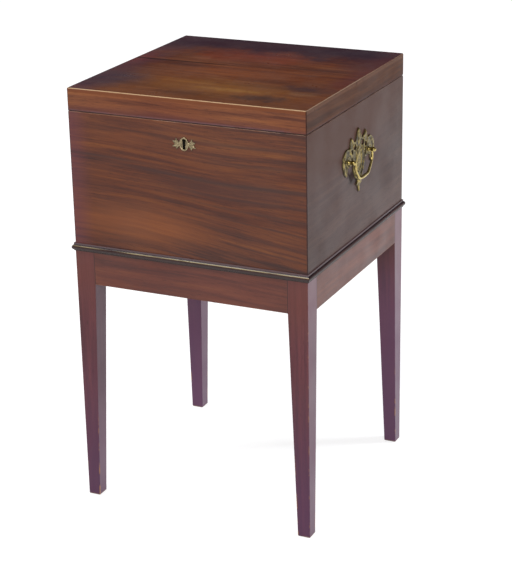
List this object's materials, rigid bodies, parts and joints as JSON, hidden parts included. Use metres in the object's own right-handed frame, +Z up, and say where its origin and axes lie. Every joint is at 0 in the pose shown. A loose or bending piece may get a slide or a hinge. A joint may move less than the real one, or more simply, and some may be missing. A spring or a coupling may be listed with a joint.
{
  "type": "antique cellarette",
  "caption": "Square mahogany bottle box with a hinged, lockable lid, brass escutcheon and side bail handles, lifting off a stand with square tapered legs.",
  "frame": {"origin": "on the floor, under the middle of the box", "axes": "+X to the viewer's right, +Y to the back (the front with the keyhole faces -Y), +Z up"},
  "size_m": [0.4606, 0.4398, 0.7451],
  "materials": {
    "case_mahogany": "waxed old polish",
    "lid_mahogany": "waxed old polish",
    "stand_mahogany": "waxed old polish",
    "moulding_mahogany": "dark old polish",
    "inner_wood": "bare, dusty",
    "cast_brass": "dull, lacquer worn",
    "plain_brass": "satin",
    "screw_brass": "satin",
    "lock_iron": "dark, dry",
    "hinge_pin_iron": "dull"
  },
  "bodies": {
    "stand": {"leg_front_left": "stand_mahogany", "leg_front_right": "stand_mahogany", "leg_back_left": "stand_mahogany", "leg_back_right": "stand_mahogany", "apron_front": "stand_mahogany", "apron_back": "stand_mahogany", "apron_left": "stand_mahogany", "apron_right": "stand_mahogany", "corner_blocks": "inner_wood", "moulding_front": "moulding_mahogany", "moulding_back": "moulding_mahogany", "moulding_left": "moulding_mahogany", "moulding_right": "moulding_mahogany"},
    "box": {"box_front": "case_mahogany", "box_back": "case_mahogany", "box_left": "case_mahogany", "box_right": "case_mahogany", "box_bottom": "inner_wood", "divider_left": "inner_wood", "divider_right": "inner_wood", "divider_front": "inner_wood", "divider_back": "inner_wood", "lock_plate": "plain_brass", "lock_case": "lock_iron", "lock_drill_pin": "lock_iron", "lock_spring": "lock_iron", "lock_screws": "screw_brass", "escutcheon": "cast_brass", "escutcheon_pins": "cast_brass", "hinge_left_box_leaf": "plain_brass", "hinge_right_box_leaf": "plain_brass", "hinge_left_pin": "hinge_pin_iron", "hinge_right_pin": "hinge_pin_iron", "hinge_box_screws": "screw_brass", "handle_right_backplate": "cast_brass", "handle_right_posts": "cast_brass", "handle_right_nuts": "cast_brass", "handle_left_backplate": "cast_brass", "handle_left_posts": "cast_brass", "handle_left_nuts": "cast_brass"},
    "lid": {"lid_front_board": "lid_mahogany", "lid_back_board": "lid_mahogany", "lid_front_rail": "lid_mahogany", "lid_back_rail": "lid_mahogany", "lid_left_rail": "lid_mahogany", "lid_right_rail": "lid_mahogany", "hinge_left_lid_leaf": "plain_brass", "hinge_right_lid_leaf": "plain_brass", "hinge_lid_screws": "screw_brass", "link_plate": "plain_brass", "link_plate_screws": "screw_brass"},
    "bail_right": {"bail_right": "cast_brass"},
    "bail_left": {"bail_left": "cast_brass"},
    "lock_bolt": {"lock_bolt": "plain_brass"}
  },
  "joints": [
    {"name": "box_lift", "type": "slide", "parent": "stand", "child": "box", "axis": [0, 0, 1], "range_m": [0, 0.06]},
    {"name": "lid_hinge", "type": "hinge", "parent": "box", "child": "lid", "pos_m": [0, 0.2115, 0.7058], "axis": [-1, 0, 0], "range_deg": [0, 95]},
    {"name": "bail_right_swing", "type": "hinge", "parent": "box", "child": "bail_right", "pos_m": [0.2258, 0, 0.616], "axis": [0, -1, 0], "range_deg": [-5, 178]},
    {"name": "bail_left_swing", "type": "hinge", "parent": "box", "child": "bail_left", "pos_m": [-0.2258, 0, 0.616], "axis": [0, 1, 0], "range_deg": [-5, 178]},
    {"name": "lock_bolt_slide", "type": "slide", "parent": "box", "child": "lock_bolt", "axis": [1, 0, 0], "range_m": [0, 0.007]}
  ]
}
